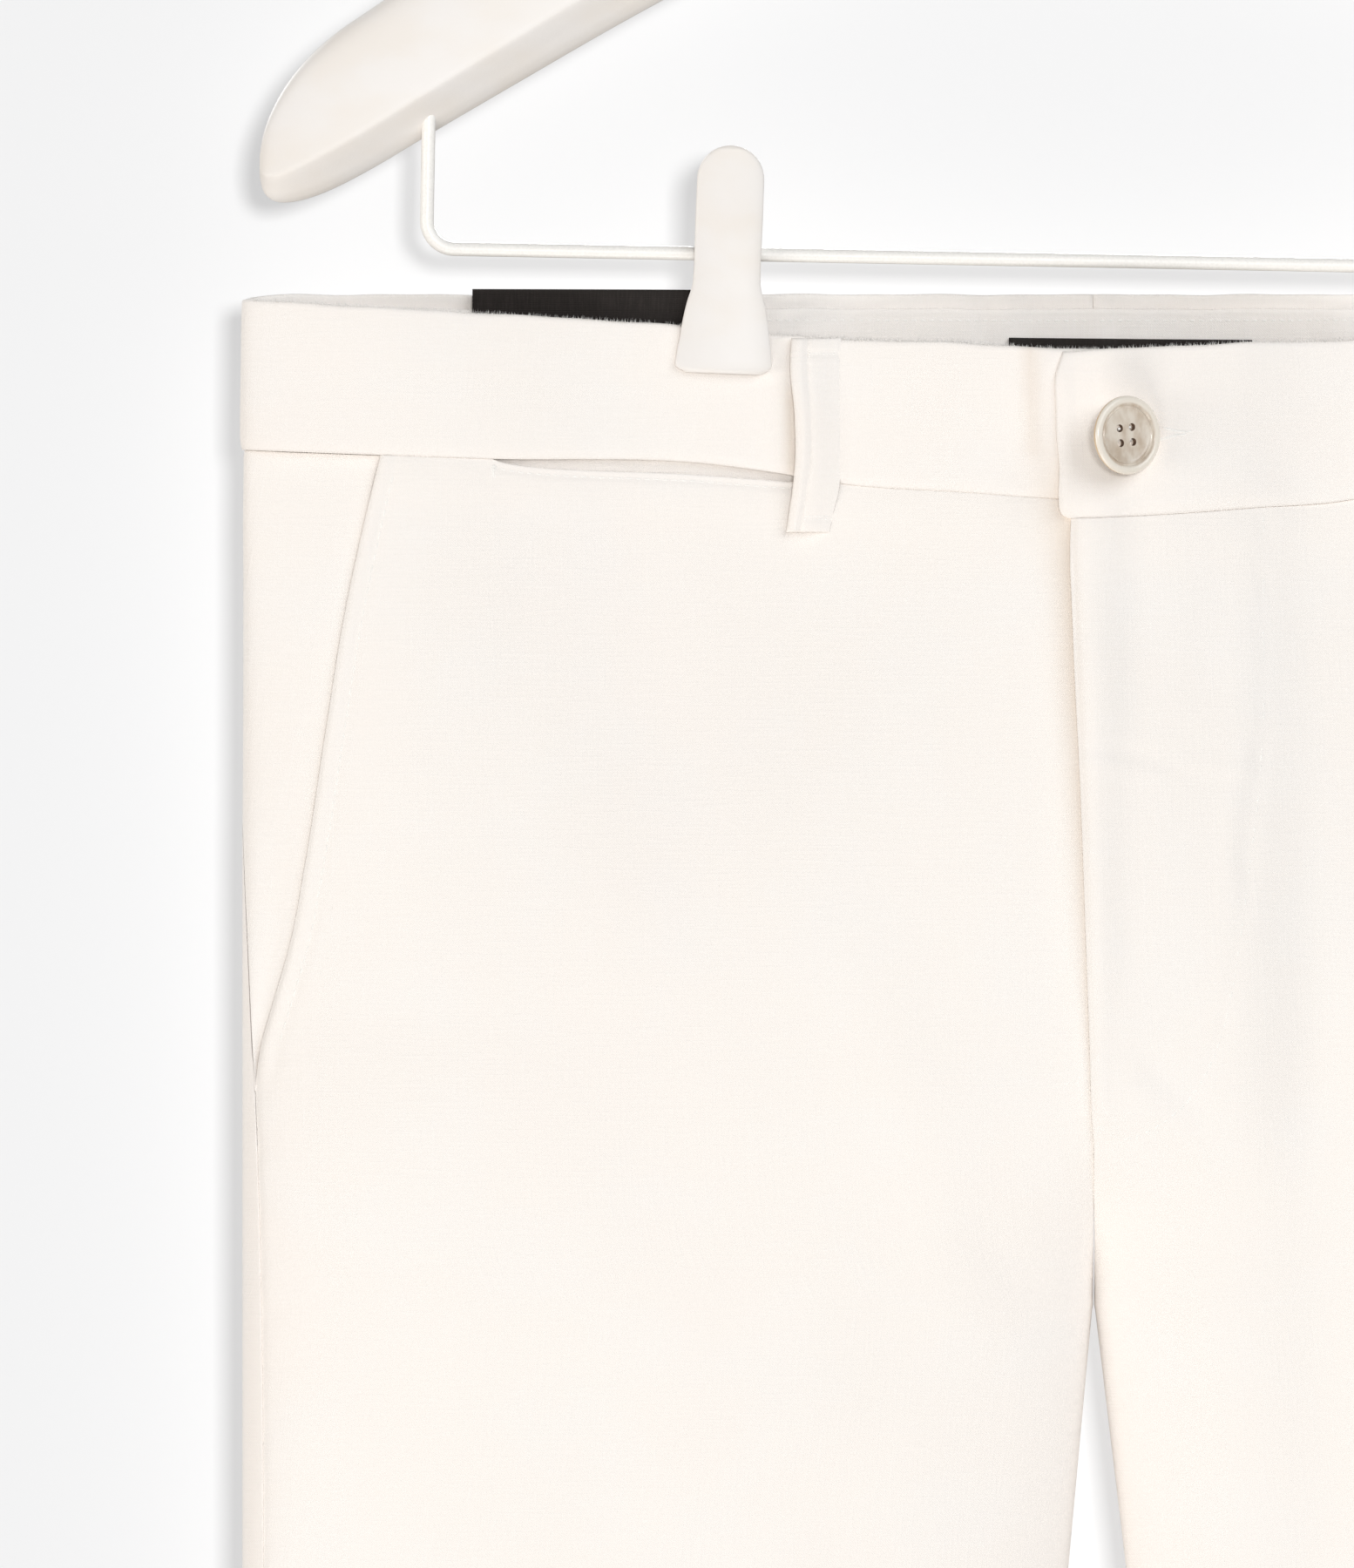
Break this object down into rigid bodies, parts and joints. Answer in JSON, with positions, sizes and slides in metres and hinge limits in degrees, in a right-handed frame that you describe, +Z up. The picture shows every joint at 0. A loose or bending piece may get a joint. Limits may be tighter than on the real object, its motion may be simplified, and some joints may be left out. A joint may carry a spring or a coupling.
{
  "type": "bermuda shorts on a clip hanger",
  "caption": "Straight linen bermuda shorts with slant pockets, a coin pocket, belt loops and a buttoned fly, held flat by the waistband on a clip hanger.",
  "frame": {"origin": "the point where the hanger's hook bears on the rail that it hangs from", "axes": "+Z up, -Y out of the front of the shorts, +X towards the wearer's left"},
  "size_m": [0.4355, 0.0581, 0.764],
  "materials": {
    "linen": "off-white plain-weave linen, matte",
    "satin_label": "black woven satin, blank",
    "pearly_button": "beige mother-of-pearl look, polished",
    "sewing_thread": "off-white cotton thread",
    "hanger_plastic": "warm white, satin to gloss",
    "coated_wire": "warm white coating on wire",
    "hook_steel": "bright plated steel"
  },
  "bodies": {
    "root": {"front_right": "linen", "front_left": "linen", "back_right": "linen", "back_left": "linen", "pocket_facing_right": "linen", "pocket_facing_left": "linen", "fly_underlap": "linen", "coin_pocket": "linen", "waistband_right": "linen", "waistband_left": "linen", "waistband_facing": "linen", "belt_loop_front_right": "linen", "belt_loop_front_left": "linen", "belt_loop_back_right": "linen", "belt_loop_back_left": "linen", "belt_loop_back_centre": "linen", "label_side": "satin_label", "label_centre": "satin_label", "button": "pearly_button", "button_thread": "sewing_thread", "hanger_body": "hanger_plastic", "hanger_hook": "hook_steel", "hanger_rod": "coated_wire", "clip_right_front": "hanger_plastic", "clip_right_back": "hanger_plastic", "clip_right_sleeve": "hook_steel", "clip_left_front": "hanger_plastic", "clip_left_back": "hanger_plastic", "clip_left_sleeve": "hook_steel"}
  },
  "joints": []
}
